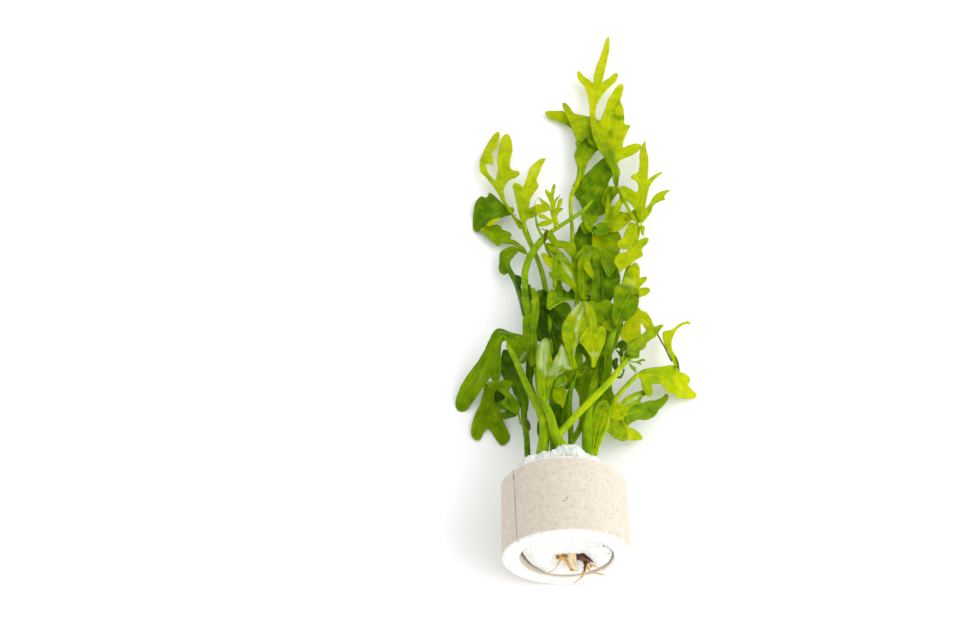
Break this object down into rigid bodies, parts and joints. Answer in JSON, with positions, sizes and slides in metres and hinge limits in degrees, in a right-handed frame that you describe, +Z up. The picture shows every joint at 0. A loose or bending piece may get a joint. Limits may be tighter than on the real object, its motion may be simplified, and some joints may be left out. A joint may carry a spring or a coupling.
{
  "type": "potted water sprite",
  "caption": "Water sprite for an aquarium, lying on its side: long forked, antler-like fronds on green stalks grow from a foam-packed ceramic plant ring with a root tuft.",
  "frame": {"origin": "middle of the footprint of the whole plant and ring, on the surface it lies on", "axes": "+Y from the ring's bottom end towards the frond tips, +Z up from the surface, +X to the right as seen with the roots near"},
  "size_m": [0.0752, 0.2294, 0.035],
  "materials": {
    "ceramic": "matte",
    "foam": "matte",
    "root": "satin",
    "stalk": "satin",
    "young_leaf": "satin",
    "leaf": "satin",
    "old_leaf": "satin"
  },
  "bodies": {
    "root": {"bow_blade": "leaf", "bow_curled_blade": "leaf", "bow_dark_blade": "old_leaf", "bow_narrow_blade": "leaf", "broad_blade": "leaf", "broad_low_blade": "leaf", "broad_stalk": "stalk", "broad_yellow_blade": "young_leaf", "centre_dark_blade": "old_leaf", "centre_left_blade": "leaf", "centre_low_blade": "leaf", "ceramic_ring": "ceramic", "crown_hanging_blade": "old_leaf", "curved_stalk": "stalk", "dark_stalk": "old_leaf", "diagonal_blade": "leaf", "diagonal_stalk": "young_leaf", "foam_plug": "foam", "folded_blade": "leaf", "folded_hanging_blade": "leaf", "folded_stalk": "stalk", "glossy_blade": "young_leaf", "left_dark_blade": "old_leaf", "left_far_blade": "young_leaf", "left_low_blade": "old_leaf", "left_near_blade": "young_leaf", "left_olive_blade": "old_leaf", "left_stalk": "stalk", "olive_stalk": "stalk", "pale_round_blade": "leaf", "pale_side_blade": "old_leaf", "pale_small_blade": "leaf", "pale_stalk": "stalk", "pale_top_blade": "leaf", "plantlet_far": "young_leaf", "plantlet_near": "young_leaf", "right_low_blade": "leaf", "right_middle_blade": "young_leaf", "right_tail": "young_leaf", "right_tip": "young_leaf", "root_tuft": "root", "side_dark_blade": "old_leaf", "side_hook_blade": "young_leaf", "side_large_blade": "young_leaf", "side_light_blade": "leaf", "side_olive_blade": "old_leaf", "side_ribbed_blade": "leaf", "side_stalk": "stalk", "side_yellow_blade": "young_leaf", "tall_dark_blade": "old_leaf", "tall_left_blade": "young_leaf", "tall_low_blade": "leaf", "tall_narrow_blade": "leaf", "tall_stalk": "stalk", "tall_tip": "young_leaf", "thin_dark_blade": "old_leaf", "thin_green_blade": "leaf", "thin_olive_blade": "old_leaf", "thin_stalk": "stalk", "yellow_blade": "young_leaf"}
  },
  "joints": []
}
